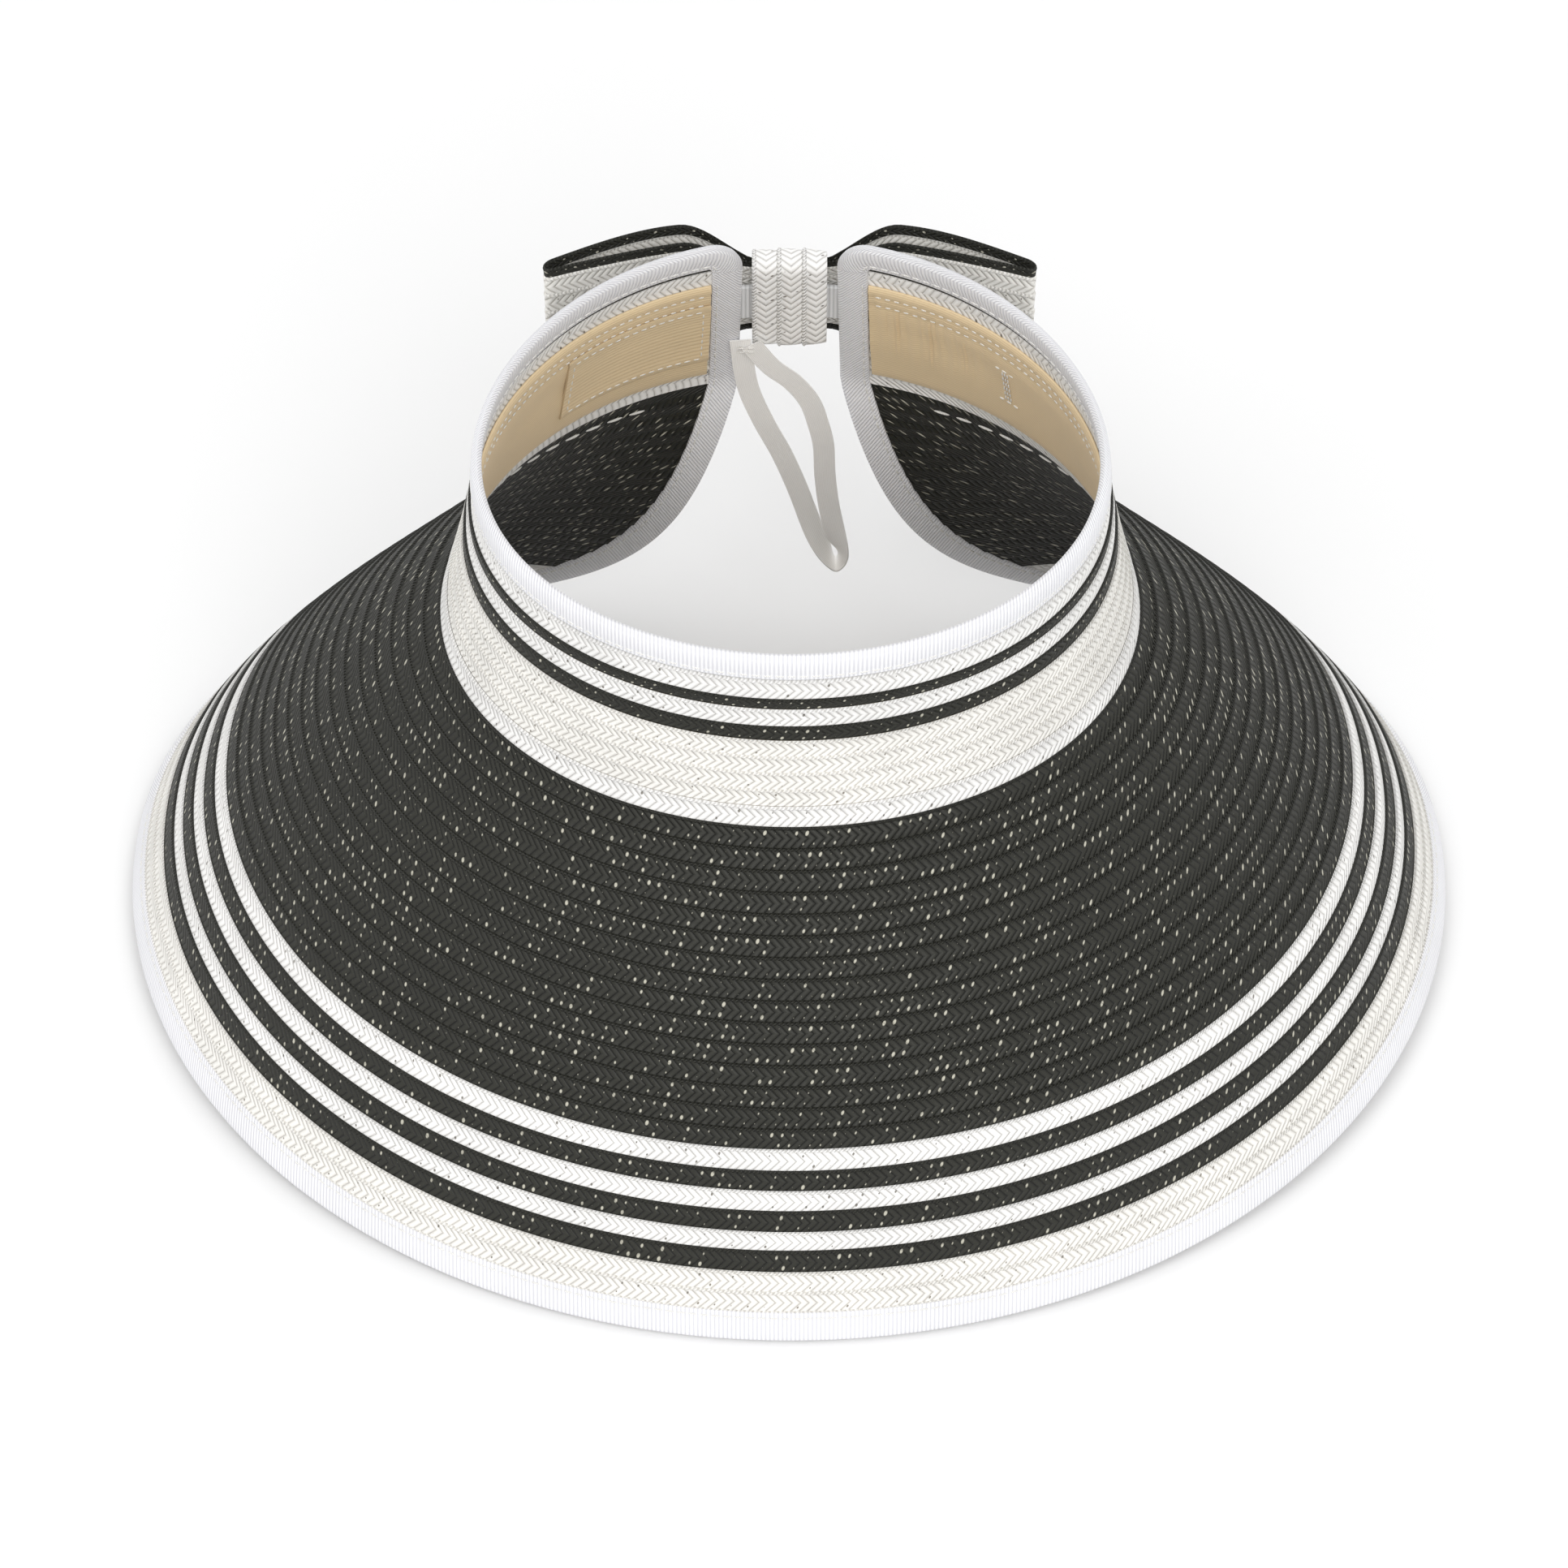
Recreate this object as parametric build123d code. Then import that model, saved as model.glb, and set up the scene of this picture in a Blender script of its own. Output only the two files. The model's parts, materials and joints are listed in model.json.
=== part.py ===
"""Roll-up straw sun visor: braided crown band and wide brim, bound edges, sweatband, and a bow at the back.

Millimetres, +Z up. The front of the brim points to -Y and the open back with its bow to +Y.
The visor stands on the edge of its brim, and the origin is at the middle of its box, on that surface.

The straw shell is one curved sheet. A place on it is an angle round the head (0 at the front, +-180 at
the back, plus on the wearer's left) and a distance along the sheet, measured in rows of braid from
the crease where the crown meets the brim: minus rows go up the crown, plus rows go out over the brim.
"""
from build123d import *
from math import cos, pi, radians, sin, sqrt
import os

# ---- braid and sheet ----
ROW = 5.6                     # pitch of the sewn rows of braid
STRAW = 1.2                   # thickness of the sewn braid
SEAM_GAP = 0.1                # clearance between two bands sewn side by side
LAYER_GAP = 0.15              # clearance between layers that lie on each other
FOLD_GAP = 0.35               # clearance between the braid and the binding folded over it

# ---- crease between crown and brim, seen from above ----
HALF_WIDTH = 93.0
HALF_DEPTH = 85.0
SIDE_DIP = 3.3                # the crease is this much lower at the sides
CREASE_BLEND = 4.0            # the sheet bends over this distance each side of the crease

# ---- slopes of the sheet below the horizontal, in degrees ----
CROWN_SLOPE = 81.0
CROWN_SLOPE_FRONT = 4.3
CROWN_SLOPE_OVAL = 2.5
CROWN_CURL = 10.0
CROWN_CURL_FRONT = 11.6
BRIM_SLOPE = 50.8
BRIM_SLOPE_FRONT = -1.5
BRIM_SLOPE_OVAL = 3.0
BRIM_CURL = 23.8
BRIM_CURL_FRONT = 9.5
BRIM_CURL_OVAL = -5.0
REAR_SLOPE = 30.0             # the brim hangs more steeply towards its rear ends
REAR_CURL = -47.3
REAR_ONSET = 3                # a higher power keeps the steep part nearer the ends

# ---- extent of the sheet, in rows and degrees ----
CROWN_ROWS = 10.62
BRIM_ROWS = 24.29
CURL_ROWS = 24.0              # the brim's curl is spread over this many rows
CROWN_CURL_ROWS = 10.5
END_ANGLE = 171.0             # crown ends, each side of the open back
FULL_BRIM_ANGLE = 95.0        # the brim keeps its full width as far back as this
CUT_ROUND_ANGLE = 2.6         # exponents of the rounded cut that narrows the brim to the crown ends
CUT_ROUND_ROWS = 1.1
CORNER_RADIUS = 10.0          # top corners of the crown ends

# ---- edge binding: grosgrain ribbon folded round every edge ----
BINDING_WIDTH = 8.0
BINDING = 0.5
EDGE_GAP = 0.3                # braid edge to the fold of the binding

# ---- sweatband inside the crown ----
SWEATBAND = 1.2
SWEATBAND_GAP = 1.0           # sweatband end to the binding
SWEATBAND_TOP = -7.9
SWEATBAND_BOTTOM = -0.9
TAB = 0.8
TAB_LENGTH = 50.0
TAB_TOP = -6.6
TAB_BOTTOM = -2.8
THREAD = 0.35
THREAD_WIDTH = 0.7
THREAD_LIFT = 0.08            # threads stand this clear of what they sew
THREAD_INSET = 6.6            # seam of the binding, in from the folded edge
CREASE_SEAM = 4.3             # seam on the inner side of the brim, out from the crease
TACK_ANGLE = 137.0            # bar tack on the sweatband, where the strap's tail is sewn in
TACK_TALL = 12.0

# ---- closure: strap and bow ----
BOW_HEIGHT = 29.0             # centre of strap and bow above the crease
STRAP_WIDTH = 11.0
STRAP = 1.6
STRAP_LAP = 12.0              # length sewn to the outside of each crown end
STRAP_BULGE = 0.9             # the strap bows out this much over the gap
KNOT_WIDTH = 20.5
KNOT_TALL = 30.0
KNOT_WALL = 1.3
WING_LENGTH = 66.0
WING_TALL = 45.0
WING_WAIST = 25.0             # height of a wing where the knot gathers it
WING_SWEEP = 14.0             # the wing tips lean this far forward, round the head
WING_OPEN = 6.0               # opening of the loop at its middle
TIP_OPEN = 2.0                # and at its rounded tip
WING_ROOT = 1.0               # the wings' gathered ends stop this far from the middle of the knot
BOW_CLEAR = 0.4

# ---- packing loop ----
LOOP_WIDTH = 6.0
LOOP_RIBBON = 0.6
LOOP_TACK_DROP = 38.0         # the loop is sewn to the crown end this far below its top
LOOP_GAP = 0.3
LOOP_STRANDS = 1.0            # the two strands hang this far apart, front to back
LOOP_TWIST_SPAN = 0.16        # share of the ribbon each side of the bottom bend that is twisted

STATIONS = 49                 # points along each long curve


def slope(angle, s):
    """Slope of the sheet below the horizontal, in radians, at s millimetres from the crease."""
    c = cos(angle)
    c2 = cos(2 * angle)
    up = min(s, 0.0) / (-CROWN_CURL_ROWS * ROW) - 0.5
    crown = CROWN_SLOPE + CROWN_SLOPE_FRONT * c + CROWN_SLOPE_OVAL * c2
    crown += (CROWN_CURL + CROWN_CURL_FRONT * c) * up
    out = max(s, 0.0) / (CURL_ROWS * ROW) - 0.5
    brim = BRIM_SLOPE + BRIM_SLOPE_FRONT * c + BRIM_SLOPE_OVAL * c2
    brim += (BRIM_CURL + BRIM_CURL_FRONT * c + BRIM_CURL_OVAL * c2) * out
    brim += max(0.0, -c) ** REAR_ONSET * (REAR_SLOPE + REAR_CURL * out)
    mix = min(max(s / (2 * CREASE_BLEND) + 0.5, 0.0), 1.0)
    mix = mix * mix * (3 - 2 * mix)
    return radians(crown + (brim - crown) * mix)


def crease(angle):
    """Point of the crease and the level direction that leads straight out from it."""
    point = Vector(HALF_WIDTH * sin(angle), -HALF_DEPTH * cos(angle), -SIDE_DIP * sin(angle) ** 2)
    out = Vector(HALF_DEPTH * sin(angle), -HALF_WIDTH * cos(angle), 0)
    return point, out.normalized()


def on_sheet(degrees, s, lift=0.0):
    """Point of the sheet, raised by lift towards its outer side."""
    angle = radians(degrees)
    base, out = crease(angle)
    steps = max(2, round(abs(s) / 4))
    step = s / steps
    across = 0.0
    drop = 0.0
    for i in range(steps):
        phi = slope(angle, (i + 0.5) * step)
        across += cos(phi) * step
        drop += sin(phi) * step
    phi = slope(angle, s)
    across += lift * sin(phi)
    drop -= lift * cos(phi)
    return base + out * across - Vector(0, 0, drop)


def end_angle(s, inset=0.0):
    """Angle at which the sheet ends, s millimetres from the crease, inset from its true edge."""
    end = END_ANGLE - inset / arc_per_degree()
    if s <= 0:
        below_top = s + CROWN_ROWS * ROW
        if below_top >= CORNER_RADIUS:
            return end
        rise = CORNER_RADIUS - max(below_top, 0.0)
        back = CORNER_RADIUS - sqrt(CORNER_RADIUS ** 2 - rise ** 2)
        return end - back / arc_per_degree()
    part = min(s / (BRIM_ROWS * ROW - inset), 1.0)
    share = (1 - part ** CUT_ROUND_ROWS) ** (1 / CUT_ROUND_ANGLE)
    return FULL_BRIM_ANGLE + (end - FULL_BRIM_ANGLE) * share


def arc_per_degree():
    """Length of the crown per degree at its ends."""
    return HALF_WIDTH * pi / 180


def spread(first, last, count=STATIONS):
    return [first + (last - first) * i / (count - 1) for i in range(count)]


def curve(points):
    """Smooth edge through the points, or a straight one through two."""
    if len(points) == 2:
        return Edge.make_line(points[0], points[1])
    places = [i / (len(points) - 1) for i in range(len(points))]
    return Edge.make_spline(points, parameters=places)


def sheet_solid(outer, inner, closed=False):
    """Solid between two skins, each a list of long curves given by their points.

    The long curves run side by side. Ruled faces join each to the next on its own skin, and join
    the skins to each other along the first and last curves and across the ends.
    """
    top = [curve(points) for points in outer]
    bottom = [curve(points) for points in inner]
    faces = []
    count = len(outer)
    for skin in (top, bottom):
        pairs = list(zip(skin, skin[1:]))
        if closed:
            pairs.append((skin[-1], skin[0]))
        faces += [Face.make_surface_from_curves(a, b) for a, b in pairs]
    if not closed:
        faces += [Face.make_surface_from_curves(top[i], bottom[i]) for i in (0, -1)]
    steps = count if closed else count - 1
    for end in (0, -1):
        for i in range(steps):
            j = (i + 1) % count
            upper = Edge.make_line(outer[i][end], outer[j][end])
            lower = Edge.make_line(inner[i][end], inner[j][end])
            faces.append(Face.make_surface_from_curves(upper, lower))
    solid = Solid(Shell(faces))
    if solid.volume < 0:
        solid = Solid(Shell([-face for face in faces]))
    return solid


# ---- straw bands ----

def band(first_row, last_row, steps=1):
    """Rows of braid between two row numbers, from one end of the sheet to the other."""
    start = first_row * ROW + SEAM_GAP / 2
    stop = last_row * ROW - SEAM_GAP / 2
    levels = spread(start, stop, steps + 1)
    if last_row == BRIM_EDGE:
        levels = [start + (stop - start) * sin(part) for part in spread(0, pi / 2, steps + 1)]
    skins = []
    for lift in (STRAW / 2, -STRAW / 2):
        skin = []
        for s in levels:
            reach = end_angle(s, EDGE_GAP)
            skin.append([on_sheet(angle, s, lift) for angle in spread(-reach, reach)])
        skins.append(skin)
    return sheet_solid(skins[0], skins[1])


STRIPE_EDGES = [14.83, 15.85, 16.83, 17.8, 18.83, 19.75, 20.83]
CROWN_TOP = -CROWN_ROWS + EDGE_GAP / ROW
BRIM_EDGE = BRIM_ROWS - EDGE_GAP / ROW
BANDS = {
    "crown_black_braid_top": (CROWN_TOP, -9.0, 1),
    "crown_white_braid_upper": (-9.0, -7.67, 1),
    "crown_black_braid_middle": (-7.67, -7.0, 1),
    "crown_white_braid_lower": (-7.0, -5.89, 1),
    "crown_black_braid_lower": (-5.89, -5.0, 1),
    "crown_ivory_braid": (-5.0, -1.1, 2),
    "crease_white_braid": (-1.1, 0.0, 2),
    "brim_black_braid": (0.0, STRIPE_EDGES[0], 10),
    "brim_ivory_braid": (STRIPE_EDGES[-1], BRIM_EDGE, 8),
}
for i in range(6):
    shade = ("white", "black")[i % 2]
    place = ("inner", "middle", "outer")[i // 2]
    BANDS[f"brim_{shade}_stripe_{place}"] = (STRIPE_EDGES[i], STRIPE_EDGES[i + 1], 1)


# ---- edge binding ----

def local_frame(degrees, s):
    """Lengths per degree and the skew of the sheet's own directions at a place."""
    here = on_sheet(degrees, s)
    round_step = on_sheet(degrees + 0.5, s) - here
    along = round_step * 2
    down = (on_sheet(degrees, s + 0.5) - here) * 2
    return along, down


def inward(path, i, distance):
    """Place on the sheet that lies a distance inside the edge path at its i-th point."""
    before = path[max(i - 1, 0)]
    after = path[min(i + 1, len(path) - 1)]
    degrees, s = path[i]
    along, down = local_frame(degrees, s)
    run = along * (after[0] - before[0]) + down * (after[1] - before[1])
    normal = along.cross(down).normalized()
    side = normal.cross(run).normalized() * distance
    aa = along.dot(along)
    ad = along.dot(down)
    dd = down.dot(down)
    sa = side.dot(along)
    sd = side.dot(down)
    span = aa * dd - ad * ad
    return degrees + (sa * dd - sd * ad) / span, s + (sd * aa - sa * ad) / span


def binding(path, turn):
    """Ribbon folded round the edge that the path follows. turn is the side on which the sheet lies."""
    lap = STRAW / 2 + FOLD_GAP
    profile = [(BINDING_WIDTH, 1), (0.0, 1), (0.0, -1), (BINDING_WIDTH, -1)]
    skins = []
    for wall in (BINDING, 0.0):
        skin = []
        for width, side in profile:
            depth = width if width else -wall
            row = []
            for i in range(len(path)):
                degrees, s = inward(path, i, turn * depth)
                row.append(on_sheet(degrees, s, side * (lap + wall)))
            skin.append(row)
        skins.append(skin)
    return sheet_solid(skins[0], skins[1])


def crown_top_path():
    """Top edge of the crown with both rounded corners."""
    top = -CROWN_ROWS * ROW
    turn = CORNER_RADIUS / arc_per_degree()
    corner = [(END_ANGLE - turn + turn * cos(a), top + CORNER_RADIUS - CORNER_RADIUS * sin(a))
              for a in spread(0, pi / 2, 9)]
    level = [(angle, top) for angle in spread(END_ANGLE - turn, -END_ANGLE + turn, 41)]
    return corner + level[1:-1] + [(-degrees, s) for degrees, s in reversed(corner)]


def rear_path():
    """Edge from the crown's corner down its end and round the cut to the full brim."""
    top = -CROWN_ROWS * ROW + CORNER_RADIUS + 3 * SEAM_GAP
    down = [(END_ANGLE, s) for s in spread(top, -2.0, 6)]
    full = BRIM_ROWS * ROW
    cut = [(end_angle(s), s) for s in [full * sin(a) for a in spread(0.02, pi / 2, 25)]]
    return down + cut


def brim_path():
    margin = SEAM_GAP / arc_per_degree()
    reach = FULL_BRIM_ANGLE - margin
    return [(angle, BRIM_ROWS * ROW) for angle in spread(-reach, reach)]


def mirrored(path):
    return [(-degrees, s) for degrees, s in path]


# ---- thin strips on the sheet: threads, sweatband, tab ----

def strip(first_angle, last_angle, top, bottom, low, high, steps=1, count=STATIONS):
    skins = []
    for lift in (high, low):
        skin = []
        for s in spread(top * ROW, bottom * ROW, steps + 1):
            skin.append([on_sheet(angle, s, lift) for angle in spread(first_angle, last_angle, count)])
        skins.append(skin)
    return sheet_solid(skins[0], skins[1])


def edge_thread(path, turn):
    """Line of stitching on the outer leaf of the binding that the path carries."""
    face = STRAW / 2 + FOLD_GAP + BINDING + THREAD_LIFT
    skins = []
    for lift in (face + THREAD, face):
        skin = []
        for depth in (THREAD_INSET, THREAD_INSET - THREAD_WIDTH):
            places = [inward(path, i, turn * depth) for i in range(1, len(path) - 1)]
            skin.append([on_sheet(degrees, s, lift) for degrees, s in places])
        skins.append(skin)
    return sheet_solid(skins[0], skins[1])


def sweatband_end():
    return END_ANGLE - (BINDING_WIDTH + SWEATBAND_GAP) / arc_per_degree()


# ---- strap and bow ----

def strap_lift():
    return STRAW / 2 + FOLD_GAP + BINDING + THREAD_LIFT + THREAD + LAYER_GAP


def gap_level():
    """Outer side of the crown ends behind the strap's lower edge, as a point."""
    return on_sheet(END_ANGLE, -(BOW_HEIGHT - STRAP_WIDTH / 2), strap_lift())


def strap_points(lift, rise):
    """One long edge of the strap: sewn over one crown end, across the gap, over the other."""
    lap = STRAP_LAP / arc_per_degree()
    half = []
    for angle in spread(END_ANGLE - lap, END_ANGLE, 4):
        place = on_sheet(angle, -(BOW_HEIGHT - STRAP_WIDTH / 2), strap_lift() + lift)
        half.append(Vector(place.X, place.Y, BOW_HEIGHT + rise))
    middle = Vector(0, half[-1].Y + STRAP_BULGE, BOW_HEIGHT + rise)
    other = [Vector(-point.X, point.Y, point.Z) for point in reversed(half)]
    return half + [middle] + other


def strap():
    half = STRAP_WIDTH / 2
    outer = [strap_points(STRAP, half), strap_points(STRAP, -half)]
    inner = [strap_points(0, half), strap_points(0, -half)]
    return sheet_solid(outer, inner)


def strap_back():
    """Outer face of the strap in the middle of the gap."""
    return gap_level().Y + STRAP + STRAP_BULGE


def wing_height(x):
    """Half height of a wing, gathered at the knot and full further out."""
    start = KNOT_WIDTH / 2
    part = min(max((x - start) / (WING_LENGTH * 0.3), 0.0), 1.0)
    part = part * part * (3 - 2 * part)
    return WING_WAIST / 2 + (WING_TALL - WING_WAIST) / 2 * part


def wing_line():
    """Plan of one wing's loop: out along the front layer, round the tip, and back."""
    front = strap_back() + BOW_CLEAR + STRAW / 2
    closed = STRAW + 2 * LAYER_GAP
    points = []
    for part in spread(0, 1, 33):
        x = WING_ROOT + (WING_LENGTH - WING_ROOT) * (1 - cos(2 * pi * part)) / 2
        beyond = max(x - KNOT_WIDTH / 2 - WING_ROOT, 0.0) / (WING_LENGTH - KNOT_WIDTH / 2 - WING_ROOT)
        gap = closed + WING_OPEN * sin(pi * beyond ** 0.8) + TIP_OPEN * beyond ** 3
        y = front - WING_SWEEP * beyond ** 1.5
        if part > 0.5:
            y += gap
        elif part == 0.5:
            y += gap / 2
        points.append(Vector(x, y, 0))
    return points


def wing_strip(low_share, high_share, hand):
    """Part of a wing between two shares of its half height."""
    line = wing_line()
    skins = []
    for lift in (STRAW / 2, -STRAW / 2):
        skin = []
        for share in (low_share, high_share):
            row = []
            for i, point in enumerate(line):
                run = line[min(i + 1, len(line) - 1)] - line[max(i - 1, 0)]
                normal = Vector(run.Y, -run.X, 0).normalized()
                place = point + normal * lift
                rise = BOW_HEIGHT + share * wing_height(point.X)
                row.append(Vector(hand * place.X, place.Y, rise))
            skin.append(row)
        skins.append(skin)
    return sheet_solid(skins[0], skins[1])


WING_EDGE_SHARE = 0.76        # black edge rows take the rest of the half height


def knot():
    """Braid wrapped round the strap and the gathered wings."""
    front = gap_level().Y - BOW_CLEAR - KNOT_WALL
    back = strap_back() + BOW_CLEAR + 2 * STRAW + 2 * LAYER_GAP + BOW_CLEAR + KNOT_WALL
    depth = back - front
    middle = (front + back) / 2
    outline = Plane.YZ * Pos(middle, BOW_HEIGHT) * RectangleRounded(depth, KNOT_TALL, depth / 2 - 0.8)
    hole_depth = depth - 2 * KNOT_WALL
    hole = Plane.YZ * Pos(middle, BOW_HEIGHT) * RectangleRounded(
        hole_depth, KNOT_TALL - 2 * KNOT_WALL, hole_depth / 2 - 0.8)
    return extrude(outline - hole, KNOT_WIDTH / 2, both=True)


# ---- packing loop ----

LOOP_ROUTE = [
    (-13.5, 19.0), (-11.6, 2.6), (-7.4, -10.5), (-2.0, -23.5), (2.6, -37.2), (7.0, -52.6), (11.0, -63.0),
    (13.6, -66.5), (15.2, -62.5), (13.3, -54.3), (11.3, -42.9), (10.1, -31.0), (9.6, -19.6), (8.0, -11.2),
    (5.6, -3.0), (1.0, 4.2), (-5.0, 10.0), (-10.5, 18.0),
]


def loop_plane():
    """The loop hangs in this plane, just inside the folded ribbon of the crown end."""
    s = LOOP_TACK_DROP - CROWN_ROWS * ROW
    leaf = on_sheet(END_ANGLE, s, -(STRAW / 2 + FOLD_GAP + BINDING))
    return leaf.Y - LOOP_GAP - (LOOP_RIBBON + LOOP_STRANDS) / 2


def packing_loop():
    """Ribbon that faces the head on both strands and twists through a quarter turn at its bend."""
    count = len(LOOP_ROUTE)
    bend = min(range(count), key=lambda i: LOOP_ROUTE[i][1])
    centres = []
    for i, (x, z) in enumerate(LOOP_ROUTE):
        centres.append(Vector(x, loop_plane() + LOOP_STRANDS * (0.5 - i / (count - 1)), z))
    skins = [[[], []], [[], []]]
    for i, centre in enumerate(centres):
        run = (centres[min(i + 1, count - 1)] - centres[max(i - 1, 0)]).normalized()
        near = max(0.0, 1 - abs(i - bend) / (LOOP_TWIST_SPAN * count))
        twist = pi / 2 * near
        flat = Vector(-run.Z, 0, run.X)
        across = (flat * cos(twist) + Vector(0, 1, 0) * sin(twist)).normalized()
        through = run.cross(across)
        for skin, lift in enumerate((LOOP_RIBBON / 2, -LOOP_RIBBON / 2)):
            for edge, side in enumerate((-LOOP_WIDTH / 2, LOOP_WIDTH / 2)):
                skins[skin][edge].append(centre + across * side + through * lift)
    return sheet_solid(skins[0], skins[1])


def loop_tack():
    """Stitch that holds both ends of the loop, on the face towards the head."""
    x = (LOOP_ROUTE[0][0] + LOOP_ROUTE[-1][0]) / 2
    z = (LOOP_ROUTE[0][1] + LOOP_ROUTE[-1][1]) / 2
    front = loop_plane() - (LOOP_RIBBON + LOOP_STRANDS) / 2 - LAYER_GAP
    return Pos(x, front - THREAD / 2, z - 2) * Box(LOOP_WIDTH, THREAD, 2 * THREAD_WIDTH)


# ---- build and place ----

def build():
    pieces = {}
    for name, (first, last, steps) in BANDS.items():
        pieces[name] = [band(first, last, steps)]
    pieces["crown_top_binding"] = [binding(crown_top_path(), -1)]
    pieces["left_rear_binding"] = [binding(rear_path(), 1)]
    pieces["right_rear_binding"] = [binding(mirrored(rear_path()), -1)]
    pieces["brim_edge_binding"] = [binding(brim_path(), -1)]
    inside = -(STRAW / 2 + LAYER_GAP)
    reach = sweatband_end()
    pieces["sweatband"] = [
        strip(-reach, reach, SWEATBAND_TOP, SWEATBAND_BOTTOM, inside - SWEATBAND, inside, 3)]
    tab_face = inside - SWEATBAND - LAYER_GAP
    tab_end = reach - TAB_LENGTH / arc_per_degree()
    pieces["sweatband_tab"] = [strip(-reach, -tab_end, TAB_TOP, TAB_BOTTOM, tab_face - TAB, tab_face, 2, 9)]
    band_face = inside - SWEATBAND - THREAD_LIFT
    seam = THREAD_WIDTH / ROW
    rows = [SWEATBAND_TOP + 0.4, SWEATBAND_TOP + 1.0]
    pieces["sweatband_threads"] = [
        strip(-reach, reach, row, row + seam, band_face - THREAD, band_face) for row in rows]
    tack_end = TACK_ANGLE + THREAD_WIDTH / arc_per_degree()
    tack_row = (SWEATBAND_TOP + SWEATBAND_BOTTOM) / 2
    half_tack = TACK_TALL / ROW / 2
    pieces["sweatband_bar_tack"] = [
        strip(TACK_ANGLE, tack_end, tack_row - half_tack, tack_row + half_tack,
              band_face - THREAD, band_face, 1, 2)]
    under = -(STRAW / 2 + LAYER_GAP)
    crease_row = CREASE_SEAM / ROW
    crease_reach = end_angle(CREASE_SEAM) - (BINDING_WIDTH + SWEATBAND_GAP) / arc_per_degree()
    pieces["crease_thread"] = [
        strip(-crease_reach, crease_reach, crease_row, crease_row + seam, under - THREAD, under)]
    pieces["crown_binding_thread"] = [edge_thread(crown_top_path(), -1)]
    pieces["left_binding_thread"] = [edge_thread(rear_path(), 1)]
    pieces["right_binding_thread"] = [edge_thread(mirrored(rear_path()), -1)]
    pieces["brim_binding_thread"] = [edge_thread(brim_path(), -1)]
    pieces["strap"] = [strap()]
    for name, hand in (("left", 1), ("right", -1)):
        pieces[f"bow_{name}_wing"] = [wing_strip(-WING_EDGE_SHARE + 0.01, WING_EDGE_SHARE - 0.01, hand)]
        edges = [wing_strip(WING_EDGE_SHARE, 1.0, hand), wing_strip(-1.0, -WING_EDGE_SHARE, hand)]
        pieces[f"bow_{name}_wing_edges"] = edges
    pieces["bow_knot"] = [knot()]
    pieces["packing_loop"] = [packing_loop()]
    pieces["loop_tack"] = [loop_tack()]
    return pieces


def main():
    pieces = build()
    boxes = [solid.bounding_box() for solids in pieces.values() for solid in solids]
    middle_x = (min(box.min.X for box in boxes) + max(box.max.X for box in boxes)) / 2
    middle_y = (min(box.min.Y for box in boxes) + max(box.max.Y for box in boxes)) / 2
    bottom = min(box.min.Z for box in boxes)
    shift = Pos(-middle_x, -middle_y, -bottom)
    os.makedirs("parts", exist_ok=True)
    for name, solids in pieces.items():
        moved = [shift * solid for solid in solids]
        export_step(moved[0] if len(moved) == 1 else Compound(moved), f"parts/{name}.step")
    print("crease centre is at", -middle_x, -middle_y, -bottom)


main()
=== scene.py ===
import json
import math

import bpy
import numpy as np
from mathutils import Matrix, Vector


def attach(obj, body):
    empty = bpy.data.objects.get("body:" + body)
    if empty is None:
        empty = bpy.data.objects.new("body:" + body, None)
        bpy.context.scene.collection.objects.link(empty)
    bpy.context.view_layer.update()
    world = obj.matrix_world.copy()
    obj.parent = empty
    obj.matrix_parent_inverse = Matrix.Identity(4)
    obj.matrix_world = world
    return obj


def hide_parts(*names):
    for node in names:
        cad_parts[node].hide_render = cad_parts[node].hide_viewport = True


# %% [markdown]
# A roll-up sun visor is sewn from straw braid, row beside row, and every edge is bound with grosgrain
# ribbon. The frame holds its plain solids. Each is replaced here by a piece with the real surface.
# The frame is loaded first, its box is kept, and everything is deselected before any new piece is made.

# %% The frame
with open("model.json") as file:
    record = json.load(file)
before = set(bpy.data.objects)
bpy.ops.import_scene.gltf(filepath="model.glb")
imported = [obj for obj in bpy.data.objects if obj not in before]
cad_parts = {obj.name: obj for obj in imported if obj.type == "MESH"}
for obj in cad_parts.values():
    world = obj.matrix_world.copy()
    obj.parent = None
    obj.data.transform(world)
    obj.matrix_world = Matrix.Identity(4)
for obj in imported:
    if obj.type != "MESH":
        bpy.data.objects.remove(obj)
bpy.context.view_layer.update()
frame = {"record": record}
bpy.ops.object.select_all(action="DESELECT")
crease_place = next(m for m in frame["record"]["mounts"] if m["name"] == "head_opening")["pos_m"]
CREASE = np.array(crease_place) * 1000
print("crease centre in millimetres", CREASE)

# %% [markdown]
# The whole straw shell is one curved sheet. A place on it is an angle round the head and a distance
# from the crease between crown and brim. These are the sheet's sizes, in millimetres and degrees.

# %% The curved sheet of straw
ROW = 5.6
HALF_WIDTH, HALF_DEPTH, SIDE_DIP, CREASE_BLEND = 93.0, 85.0, 3.3, 4.0
CROWN_ROWS, BRIM_ROWS, CURL_ROWS, CROWN_CURL_ROWS = 10.62, 24.29, 24.0, 10.5
END_ANGLE, FULL_BRIM_ANGLE, CORNER_RADIUS = 171.0, 95.0, 10.0
ARC_PER_DEGREE = HALF_WIDTH * math.pi / 180


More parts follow.
